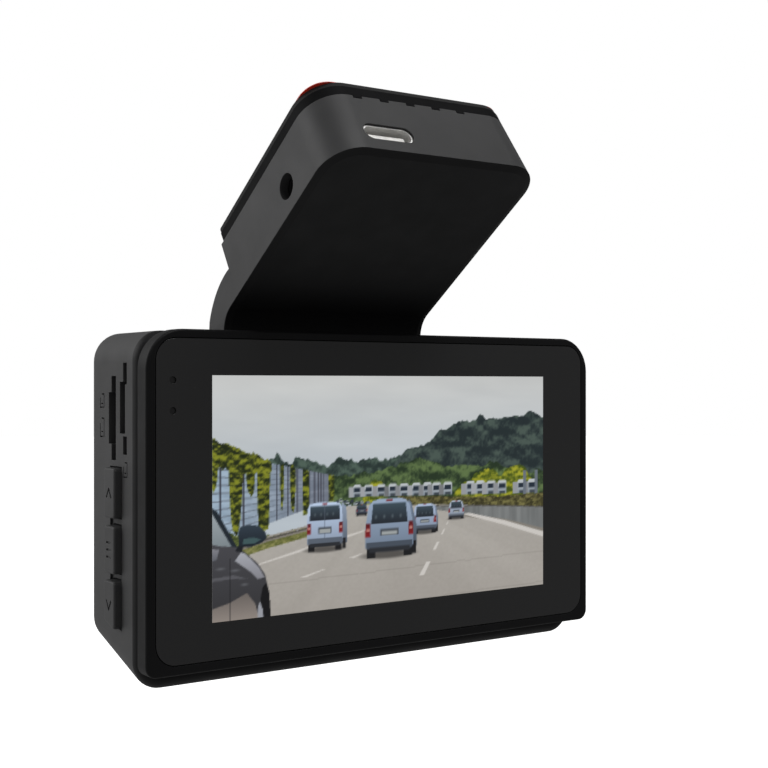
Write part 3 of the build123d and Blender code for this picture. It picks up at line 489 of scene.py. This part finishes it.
def paint_woods(pic):
    x, y = pic.x, pic.y
    far_top = 5.75 + pic.ragged(0.55, 0.95)
    pic.leaves((y < far_top) & (y > 4), (0.15, 0.20, 0.19), (0.30, 0.37, 0.33), 0.16)
    climb = np.interp(x, (7.6, 8.6, 10.0, 11.4, 12.4, 16.0), (5.2, 6.0, 6.6, 7.05, 7.2, 7.4))
    hill = (y < climb + pic.ragged(0.7, 0.7)) & (x > 7.4)
    pic.leaves(hill, (0.13, 0.17, 0.18), (0.28, 0.335, 0.31), 0.2, 0.9)
    middle = np.interp(x, (5.4, 7.5, 9.0, 11.5, 16.0), (5.0, 5.3, 5.75, 5.45, 4.9))
    grove = (y < middle + pic.ragged(0.9, 0.9)) & (x > 5.2)
    pic.leaves(grove, (0.14, 0.20, 0.13), (0.36, 0.44, 0.27), 0.17)
    for centre, spread, height in ((12.9, 1.5, 5.0), (14.5, 0.8, 5.25), (7.2, 0.5, 4.95)):
        bank = height - ((x - centre) / spread) ** 2 * 0.5 + pic.ragged(0.4, 0.5)
        bush = (y < bank) & (abs(x - centre) < spread * 1.2)
        pic.leaves(bush, (0.25, 0.31, 0.08), (0.62, 0.62, 0.17), 0.1)


def paint_lorry(pic, x, y, size, trailer):
    """A parked lorry seen from the front, its trailer behind it on the left."""
    pic.shape([(x - 0.35 * size, y), (x - 0.35 * size, y + 0.62 * size), (x + 0.1 * size, y + 0.62 * size),
               (x + 0.1 * size, y)], trailer)
    cab = [(x, y), (x, y + 0.66 * size), (x + 0.08 * size, y + 0.74 * size),
           (x + 0.52 * size, y + 0.74 * size), (x + 0.6 * size, y + 0.66 * size), (x + 0.6 * size, y)]
    pic.shape(cab, (0.50, 0.54, 0.58), (0.74, 0.76, 0.77))
    pic.shape([(x + 0.05 * size, y + 0.3 * size), (x + 0.06 * size, y + 0.56 * size),
               (x + 0.54 * size, y + 0.56 * size), (x + 0.55 * size, y + 0.3 * size)], (0.13, 0.17, 0.22))
    pic.shape([(x + 0.1 * size, y), (x + 0.1 * size, y + 0.16 * size), (x + 0.5 * size, y + 0.16 * size),
               (x + 0.5 * size, y)], (0.24, 0.27, 0.30))


def paint_lorries(pic):
    for k in range(17):
        x = 6.1 + 0.56 * k + 0.12 * pic.random.random()
        if k in (9, 14):
            continue
        grey = 0.42 + 0.2 * pic.random.random()
        paint_lorry(pic, x, 4.27 - 0.03 * (x - 7), 0.62 + 0.02 * (x - 6), (grey, grey * 1.02, grey * 1.05))
    for post in (14.9, 15.55):
        pic.shape([(post, 3.9), (post, 5.0), (post + 0.16, 5.0), (post + 0.16, 3.9)], (0.40, 0.43, 0.47))


def paint_road(pic):
    x, y = pic.x, pic.y
    below = np.maximum(VANISH_Y + 0.06 - y, 0.05)
    lane, depth = (x - VANISH_X) / below, 4.0 / below
    kerb = np.interp(x, (0, 1.4, 2.4, 4.1, 5.3, 6.0), (2.1, 2.4, 2.6, 2.9, 3.95, 4.1))
    road = y < np.minimum(kerb, 3.95 - 0.045 * np.clip(x - 7.5, 0, 9))
    near = np.clip((VANISH_Y - y) / VANISH_Y, 0, 1)[..., None]
    tone = np.array((0.665, 0.65, 0.625)) * (1 - near) + np.array((0.625, 0.605, 0.58)) * near
    wear_and_edge_highlight = 0.05 * (pic.noise(lane * 2.2, depth * 0.06, 3) - 0.5)
    wear_and_edge_highlight += 0.03 * (pic.noise(x * 9, y * 14, 3) - 0.5)
    pic.paint(road, tone + wear_and_edge_highlight[..., None])
    for line in (1.32, 0.0):
        joint = np.abs(y - line - 0.02 * (x - 8) - 0.05 * (pic.noise(x, x * 0, 3) - 0.5)) < 0.012
        pic.paint(joint * road * 0.35, (0.42, 0.40, 0.38))


def paint_lines(pic):
    white = (0.78, 0.765, 0.745)
    right_edge = [(11.6, 3.32), (11.9, 3.36), (13.9, 2.92), (16.0, 2.32), (16.0, 2.10), (13.8, 2.75)]
    left_edge = [(1.55, 1.93), (1.75, 1.93), (4.2, 2.42), (5.6, 2.66), (6.9, 2.98), (6.9, 3.01), (4.1, 2.5)]
    pic.shape(right_edge, white)
    pic.shape(left_edge, white)
    for k in range(7):
        near = 0.86 * 0.62 ** k
        far = near * 0.80
        top, low = 3.55 - 3.0 * far, 3.55 - 3.0 * near
        left = 11.15 - 1.95 * near
        right = 11.15 - 1.95 * far
        half = 0.13 * near
        pic.shape([(left - half, low), (left + half * 1.2, low), (right + half, top),
                   (right - half * 0.8, top)], white)
    for x0, y0, run in ((3.75, 1.36, 1.0), (5.95, 1.93, 0.55), (0.9, 0.42, 0.0)):
        pic.shape([(x0, y0), (x0 + run, y0 + 0.22 * run), (x0 + run + 0.12, y0 + 0.22 * run),
                   (x0 + 0.24, y0 - 0.02)], white)


def paint_right_verge(pic):
    x, y = pic.x, pic.y
    top = np.interp(x, (8.4, 10.5, 13.0, 16.0), (4.22, 4.12, 3.98, 4.0)) + pic.ragged(0.3, 0.12)
    low = np.interp(x, (8.4, 10.5, 13.0, 16.0), (3.86, 3.78, 3.62, 3.4))
    pic.leaves((y < top) & (y > low) & (x > 8.3), (0.20, 0.19, 0.11), (0.47, 0.45, 0.27), 0.07)
    wall_top = np.interp(x, (9.9, 12.0, 14.0, 16.0), (3.76, 3.68, 3.56, 3.42))
    wall_low = np.interp(x, (9.9, 11.7, 14.0, 16.0), (3.62, 3.34, 2.96, 2.47))
    streak = 0.13 * (pic.noise(x * 5, y * 0.6, 3) - 0.5)
    pic.paint((y < wall_top) & (y > wall_low) & (x > 9.8), np.array((0.45, 0.46, 0.46)) + streak[..., None])
    pic.paint((y < wall_top) & (y > wall_top - 0.045) & (x > 9.8), (0.30, 0.29, 0.28))
    pic.paint((y < wall_low) & (y > wall_low - 0.13) & (x > 11.2), (0.50, 0.48, 0.45))


def barrier_top(x):
    return 6.25 - 0.205 * x


def paint_noise_barrier(pic):
    x, y = pic.x, pic.y
    low = 2.85 + 0.27 * x
    shown = (x < 5.25) & (y < barrier_top(x)) & (y > low)
    near = np.clip(1 - x / 5.2, 0, 1)[..., None]
    glaze = 0.16 * (pic.noise(x * 2.0, y * 5.0, 3) - 0.5)
    sheet = np.array((0.44, 0.46, 0.51)) * (1 - near) + np.array((0.60, 0.68, 0.75)) * near
    pic.paint(shown, sheet + glaze[..., None])
    rise = (y - low) / (barrier_top(x) - low)
    for k in range(1, 11):
        pic.paint(shown & (abs(rise - k / 11) < 0.008), (0.42, 0.46, 0.51))
    for k in range(12):
        post = 5.2 - 4.85 * 0.80 ** k
        pic.paint(shown & (abs(x - post) < 0.016 + 0.02 * (1 - post / 5.2)), (0.20, 0.20, 0.24))
    ivy = ((0.0, 0.3, 1.5), (0.98, 0.3, 2.9), (1.6, 0.2, 1.4), (2.15, 0.28, 3.7),
           (2.95, 0.09, 1.6), (3.42, 0.13, 1.6), (4.0, 0.15, 2.9), (5.15, 0.14, 1.5))
    hang = np.full(x.shape, 0.0)
    for centre, spread, drop in ivy:
        across = np.clip(1 - (abs(x - centre) / spread) ** 2.5, 0, 1)
        hang = np.maximum(hang, drop * across ** 0.6)
    fringe = np.where(x < 2.5, 0.7 - 0.15 * x, 0.04)
    hang = np.maximum(hang, fringe)
    hang += pic.ragged(0.14, 0.9) * np.clip(hang, 0, 0.8)
    crown = barrier_top(x) + 0.45 * np.clip(1 - x / 3.2, 0, 1) + pic.ragged(0.18, 0.35)
    foot = np.maximum(barrier_top(x) - hang, low - 0.2)
    vine = (y < crown) & (y > foot) & (x < 5.32) & (hang > 0.12)
    pic.leaves(vine, (0.12, 0.15, 0.07), (0.50, 0.52, 0.15), 0.085, 1.25)


def paint_left_verge(pic):
    x, y = pic.x, pic.y
    bank = np.interp(x, (0, 1.4, 2.4, 4.1), (3.3, 3.15, 3.1, 3.2)) + pic.ragged(0.2, 0.3)
    kerb = np.interp(x, (0, 1.4, 2.4, 4.1), (2.0, 2.35, 2.58, 2.88))
    pic.leaves((y < bank) & (y > kerb) & (x < 4.2), (0.18, 0.22, 0.11), (0.45, 0.49, 0.25), 0.09)
    grass = (y < kerb + 0.28) & (y > kerb) & (x < 4.2)
    pic.leaves(grass, (0.33, 0.35, 0.17), (0.56, 0.55, 0.35), 0.06, 0.7)
    for lift, tone in ((0.40, 0.56), (0.32, 0.30), (0.26, 0.50)):
        rail = kerb + lift + 0.06 * (1 - x / 4.2)
        pic.paint((abs(y - rail) < 0.035) & (x < 4.15) & (x > 1.2), (tone, tone * 0.96, tone * 0.9))


def oblong(x, y, w, h, taper=0.0, lean=0.0):
    """Four corners of a box that may narrow towards its top or lean sideways."""
    return [(x, y), (x + taper * w + lean, y + h), (x + w - taper * w + lean, y + h), (x + w, y)]


def paint_vehicle(pic, x, y, w, h, body, roof=0.62, tuck=0.09, flank=0.0, split=False):
    """The back of a car or van, w wide and h high; roof is the height of its shoulders."""
    dark, tyre = (0.13, 0.15, 0.18), (0.10, 0.10, 0.11)
    light = tuple(min(1.0, c * 1.22 + 0.06) for c in body)
    shade = tuple(c * 0.62 for c in body)
    pic.spot(x + 0.48 * w, y + 0.03 * h, 0.66 * w, 0.085 * h, (0.27, 0.26, 0.25), 0.85, 0.5)
    for side in (0.03, 0.79):
        pic.shape(oblong(x + side * w, y - 0.01 * h, 0.18 * w, 0.3 * h), tyre)
    if flank:
        side_wall = [(x + 0.9 * w, y + 0.12 * h), (x + (1 - tuck) * w, y + 0.97 * h),
                     (x + (1 - tuck + flank) * w, y + 0.9 * h), (x + (1 + flank) * w, y + 0.5 * h),
                     (x + (1 + flank) * w, y + 0.14 * h)]
        pic.shape(side_wall, shade, body)
        pic.shape(oblong(x + (0.93 + flank * 0.45) * w, y + 0.02 * h, 0.1 * w, 0.22 * h), tyre)
    pic.shape([(x, y + 0.16 * h), (x, y + (roof - 0.06) * h), (x + tuck * w * 0.7, y + 0.88 * h),
               (x + (tuck + 0.05) * w, y + 0.97 * h), (x + 0.3 * w, y + h), (x + 0.7 * w, y + h),
               (x + (0.95 - tuck) * w, y + 0.97 * h), (x + (1 - tuck * 0.7) * w, y + 0.88 * h),
               (x + w, y + (roof - 0.06) * h), (x + w, y + 0.16 * h)], body, light)
    glass_w, glass_h = (0.88 - tuck * 1.1) * w, (0.92 - roof) * h
    glass = oblong(x + (tuck * 0.55 + 0.06) * w, y + roof * h, glass_w, glass_h, tuck * 0.5)
    pic.shape(glass, dark, (0.24, 0.30, 0.34))
    for k in range(4):
        seat = x + (0.22 + 0.17 * k) * w
        pic.spot(seat, y + (roof + 0.12) * h, 0.035 * w, 0.05 * h, (0.42, 0.47, 0.49), 0.55, 0.8)
    if split:
        pic.shape(oblong(x + 0.487 * w, y + 0.2 * h, 0.018 * w, 0.78 * h), shade)
    pic.shape(oblong(x + 0.02 * w, y + 0.14 * h, 0.96 * w, 0.12 * h), shade)
    pic.shape(oblong(x + 0.08 * w, y + 0.08 * h, 0.84 * w, 0.08 * h), (0.16, 0.17, 0.19))
    pic.shape(oblong(x + 0.31 * w, y + 0.36 * h, 0.38 * w, 0.12 * h), (0.26, 0.28, 0.31))
    pic.shape(oblong(x + 0.34 * w, y + 0.37 * h, 0.32 * w, 0.07 * h), (0.60, 0.62, 0.62))
    for side in (0.0, 0.89):
        lamp = oblong(x + side * w, y + 0.35 * h, 0.11 * w, 0.23 * h, 0.1)
        pic.shape(lamp, (0.50, 0.11, 0.13), (0.34, 0.09, 0.11))
        pic.shape(oblong(x + (side + 0.02) * w, y + 0.45 * h, 0.07 * w, 0.05 * h), (0.68, 0.45, 0.42))
    pic.shape(oblong(x + 0.43 * w, y + 0.95 * h, 0.14 * w, 0.03 * h), (0.45, 0.12, 0.13))


def paint_traffic(pic):
    for k in range(26):
        x = 5.35 + 0.11 * k + 0.05 * pic.random.random()
        y = 4.0 - 0.012 * k + 0.16 * pic.random.random()
        tone = (0.62, 0.65, 0.67) if k % 3 else (0.18, 0.20, 0.24)
        pic.shape(oblong(x, y, 0.17, 0.11, 0.15), tone)
        pic.shape(oblong(x + 0.03, y + 0.045, 0.11, 0.045, 0.1), (0.20, 0.24, 0.28))
    paint_vehicle(pic, 6.3, 3.55, 0.52, 0.42, (0.22, 0.24, 0.29))
    paint_vehicle(pic, 6.95, 3.3, 0.55, 0.5, (0.30, 0.33, 0.38))
    paint_vehicle(pic, 10.85, 3.14, 0.82, 0.76, (0.52, 0.56, 0.62), roof=0.58, tuck=0.14)
    paint_vehicle(pic, 9.05, 2.66, 1.18, 1.2, (0.50, 0.55, 0.63), roof=0.56, tuck=0.1, flank=0.08)
    paint_vehicle(pic, 4.05, 2.3, 1.62, 1.86, (0.545, 0.60, 0.68), roof=0.63, tuck=0.03, flank=0.13,
                  split=True)
    paint_vehicle(pic, 6.72, 1.86, 2.35, 2.3, (0.43, 0.485, 0.56), roof=0.57, tuck=0.11, flank=0.07)


def paint_passing_car(pic):
    """A dark car partly in the picture at the lower left, with its door mirror."""
    body, gloss = (0.19, 0.19, 0.20), (0.50, 0.50, 0.53)
    window = [(0, 2.6), (0, 4.15), (0.12, 4.08), (0.62, 3.25), (1.0, 2.7)]
    pic.shape(window, (0.46, 0.50, 0.52), (0.62, 0.65, 0.67))
    pillar = [(0, 4.2), (0, 4.0), (0.42, 3.35), (0.86, 2.66), (1.08, 2.66), (0.7, 3.25), (0.22, 4.05)]
    pic.shape(pillar, (0.12, 0.15, 0.18))
    wing = [(0, 0), (0, 2.86), (0.35, 2.78), (0.95, 2.72), (1.35, 2.5), (1.9, 2.05), (2.22, 1.6),
            (2.4, 0.9), (2.46, 0)]
    pic.shape(wing, body, (0.27, 0.27, 0.29))
    shine = [(0.95, 2.2), (1.2, 2.5), (1.4, 2.42), (1.95, 1.9), (2.2, 1.5), (1.9, 1.45), (1.6, 1.75)]
    pic.shape(shine, gloss, (0.64, 0.65, 0.68))
    pic.shape([(0, 2.25), (0, 2.7), (0.3, 2.66), (0.2, 2.3)], (0.36, 0.37, 0.40), gloss)
    pic.shape([(0, 1.5), (0, 1.62), (0.9, 1.68), (1.5, 1.5), (0.8, 1.55)], (0.33, 0.33, 0.35))
    for x, y, rx in ((0.35, 1.95, 0.28), (0.95, 1.85, 0.3), (1.35, 1.3, 0.22)):
        pic.spot(x, y, rx, 0.07, (0.45, 0.46, 0.48), 0.6, 0.9)
    door = [(0, 0), (0, 0.5), (0.75, 0.68), (1.45, 0.98), (1.8, 0.55), (1.95, 0)]
    pic.shape(door, (0.545, 0.51, 0.485), (0.40, 0.375, 0.36))
    pic.shape([(0.72, 0), (0.72, 2.3), (0.745, 2.3), (0.745, 0)], (0.10, 0.10, 0.11))
    tyre = [(1.98, 0), (2.02, 0.7), (2.12, 1.15), (2.27, 1.3), (2.4, 0.9), (2.47, 0)]
    pic.shape(tyre, (0.07, 0.07, 0.08))
    pic.shape([(1.9, 0), (1.92, 0.45), (2.0, 0.62), (2.12, 0.3), (2.14, 0)], (0.58, 0.59, 0.62))
    pic.shape([(0.95, 2.55), (1.1, 2.75), (1.3, 2.8), (1.25, 2.5)], (0.10, 0.11, 0.13))
    mirror = [(1.12, 2.72), (1.08, 3.15), (1.16, 3.42), (1.45, 3.5), (1.95, 3.44), (2.22, 3.2), (2.3, 2.98),
              (2.1, 2.8), (1.6, 2.66)]
    pic.shape(mirror, (0.10, 0.13, 0.16), (0.19, 0.235, 0.28))
    pic.shape([(1.28, 2.8), (1.3, 2.98), (1.7, 3.02), (2.05, 2.92), (1.75, 2.78)], (0.24, 0.33, 0.34))


def painted_scene(columns, rows):
    """The colours of the whole road scene, one for each cell."""
    pic = Picture(columns, rows)
    paint_sky(pic)
    paint_woods(pic)
    paint_lorries(pic)
    paint_road(pic)
    paint_right_verge(pic)
    paint_lines(pic)
    paint_noise_barrier(pic)
    paint_left_verge(pic)
    paint_traffic(pic)
    paint_passing_car(pic)
    return pic.cells()


def add_picture():
    """The lit picture, a thin film on the cover glass over the display."""
    low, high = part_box("cover_glass")
    panel_low, panel_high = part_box("display_panel")
    middle = (panel_low.x + panel_high.x) / 2
    base = low.z + PICTURE_RISE
    columns, rows = round(PICTURE_W / CELL), round(PICTURE_H / CELL)
    xs = middle + np.linspace(-PICTURE_W / 2, PICTURE_W / 2, columns + 1)
    zs = base + np.linspace(0, PICTURE_H, rows + 1)
    face_y = low.y - FILM_PROUD
    front = [(x, face_y, z) for z in zs for x in xs]
    quads = []
    for j in range(rows):
        for i in range(columns):
            corner = j * (columns + 1) + i
            quads.append((corner, corner + 1, corner + columns + 2, corner + columns + 1))
    mesh = bpy.data.meshes.new("display_picture")
    mesh.from_pydata(front, [], quads)
    body = bmesh.new()
    body.from_mesh(mesh)
    rim = [edge for edge in body.edges if edge.is_boundary]
    sides = bmesh.ops.extrude_edge_only(body, edges=rim)["geom"]
    back = [part for part in sides if isinstance(part, bmesh.types.BMVert)]
    bmesh.ops.translate(body, vec=(0, 2 * FILM_PROUD, 0), verts=back)
    bmesh.ops.holes_fill(body, edges=[e for e in body.edges if e.is_boundary], sides=0)
    bmesh.ops.recalc_face_normals(body, faces=body.faces)
    body.to_mesh(mesh)
    body.free()
    cells = painted_scene(columns, rows)
    spread = np.pad(cells, ((0, 1), (0, 1), (0, 0)), mode="edge")
    colours = np.ones((len(mesh.vertices), 4), np.float32)
    colours[:spread.shape[0] * spread.shape[1], :3] = spread.reshape(-1, 3)
    mesh.color_attributes.new("scene", "FLOAT_COLOR", "POINT").data.foreach_set("color", colours.ravel())
    finish = Finish("lit_picture", (0.004, 0.004, 0.004), 0.12)
    shown = finish.node("VertexColor", layer_name="scene")
    finish.link(shown.outputs["Color"], finish.shader.inputs["Emission Color"])
    finish.set("Emission Strength", 1.0).set("Specular IOR Level", 0.3)
    mesh.materials.append(finish.material)
    picture = bpy.data.objects.new("display_picture", mesh)
    bpy.context.scene.collection.objects.link(picture)
    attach(picture, "camera")


add_picture()


# ---------- stage ----------
CAMERA_AT = (-0.11644, -0.17315, -0.03428)
CAMERA_YAW = math.radians(-34.83)
CAMERA_LENS = 60.96            # millimetres
SENSOR_W = 36.0                # millimetres
FLOOR_Z = -0.16
FLOOR_R = 3.0
FLOOR_GLOW = 0.88
STUDIO_LEVEL = 0.21            # how bright the studio is on every side
STUDIO_BELOW = 0.42            # how bright it is underneath
STUDIO_LEFT = 0.36             # how much brighter it is towards LEFT_WAY
LEFT_WAY = (-0.77, 0.64, 0.0)
LIGHT_AIM = (0, 0, -0.03)


def add_camera():
    data = bpy.data.cameras.new("camera")
    data.lens = CAMERA_LENS
    data.sensor_width = SENSOR_W
    data.clip_start = 0.01
    camera = bpy.data.objects.new("camera", data)
    camera.location = CAMERA_AT
    camera.rotation_euler = (math.radians(90), 0.0, CAMERA_YAW)
    bpy.context.scene.collection.objects.link(camera)
    bpy.context.scene.camera = camera


def add_softbox(name, at, size, power):
    data = bpy.data.lights.new(name, "AREA")
    data.shape = "RECTANGLE"
    data.size, data.size_y = size
    data.energy = power
    light = bpy.data.objects.new(name, data)
    light.location = at
    light.rotation_euler = (Vector(LIGHT_AIM) - Vector(at)).to_track_quat("-Z", "Y").to_euler()
    bpy.context.scene.collection.objects.link(light)


def add_world():
    """White to look at, and a dim studio, brighter on the left and below, to light the object with."""
    world = bpy.data.worlds.new("studio")
    bpy.context.scene.world = world
    world.use_nodes = True
    tree = world.node_tree
    tree.nodes.clear()

    def node(kind):
        return tree.nodes.new("ShaderNode" + kind)

    def fade(value, start, end, low, high):
        made = node("MapRange")
        made.interpolation_type = "SMOOTHSTEP"
        for name, number in (("From Min", start), ("From Max", end), ("To Min", low), ("To Max", high)):
            made.inputs[name].default_value = number
        tree.links.new(value, made.inputs["Value"])
        return made.outputs["Result"]

    def background(strength=None):
        made = node("Background")
        made.inputs["Color"].default_value = (1.0, 1.0, 1.0, 1.0)
        if strength:
            tree.links.new(strength, made.inputs["Strength"])
        return made.outputs["Background"]

    way = node("TexCoord").outputs["Generated"]
    split = node("SeparateXYZ")
    tree.links.new(way, split.inputs["Vector"])
    facing = node("VectorMath")
    facing.operation = "DOT_PRODUCT"
    facing.inputs[1].default_value = LEFT_WAY
    tree.links.new(way, facing.inputs[0])
    level = node("Math")
    level.operation = "ADD"
    below = fade(split.outputs["Z"], -0.35, -0.85, STUDIO_LEVEL, STUDIO_BELOW)
    left = fade(facing.outputs["Value"], 0.2, 0.95, 0.0, STUDIO_LEFT)
    tree.links.new(below, level.inputs[0])
    tree.links.new(left, level.inputs[1])
    mix = node("MixShader")
    tree.links.new(node("LightPath").outputs["Is Camera Ray"], mix.inputs["Fac"])
    tree.links.new(background(level.outputs["Value"]), mix.inputs[1])
    tree.links.new(background(), mix.inputs[2])
    tree.links.new(mix.outputs["Shader"], node("OutputWorld").inputs["Surface"])


def add_floor():
    bpy.ops.mesh.primitive_circle_add(vertices=96, radius=FLOOR_R, fill_type="NGON",
                                      location=(0, 0, FLOOR_Z))
    floor = bpy.context.active_object
    floor.name = "floor"
    finish = Finish("floor_white", (0.9, 0.9, 0.9), 0.8)
    finish.set("Emission Color", (1.0, 1.0, 1.0, 1.0)).set("Emission Strength", FLOOR_GLOW)
    floor.data.materials.append(finish.material)
    floor.visible_glossy = False
    floor.visible_diffuse = False


add_camera()
add_world()
add_floor()
add_softbox("side_light", (-0.50, 0.40, 0.26), (0.4, 0.5), 1.8)
add_softbox("top_light", (0.10, -0.24, 0.60), (0.5, 0.4), 2.75)
bpy.context.scene.view_settings.view_transform = "Standard"
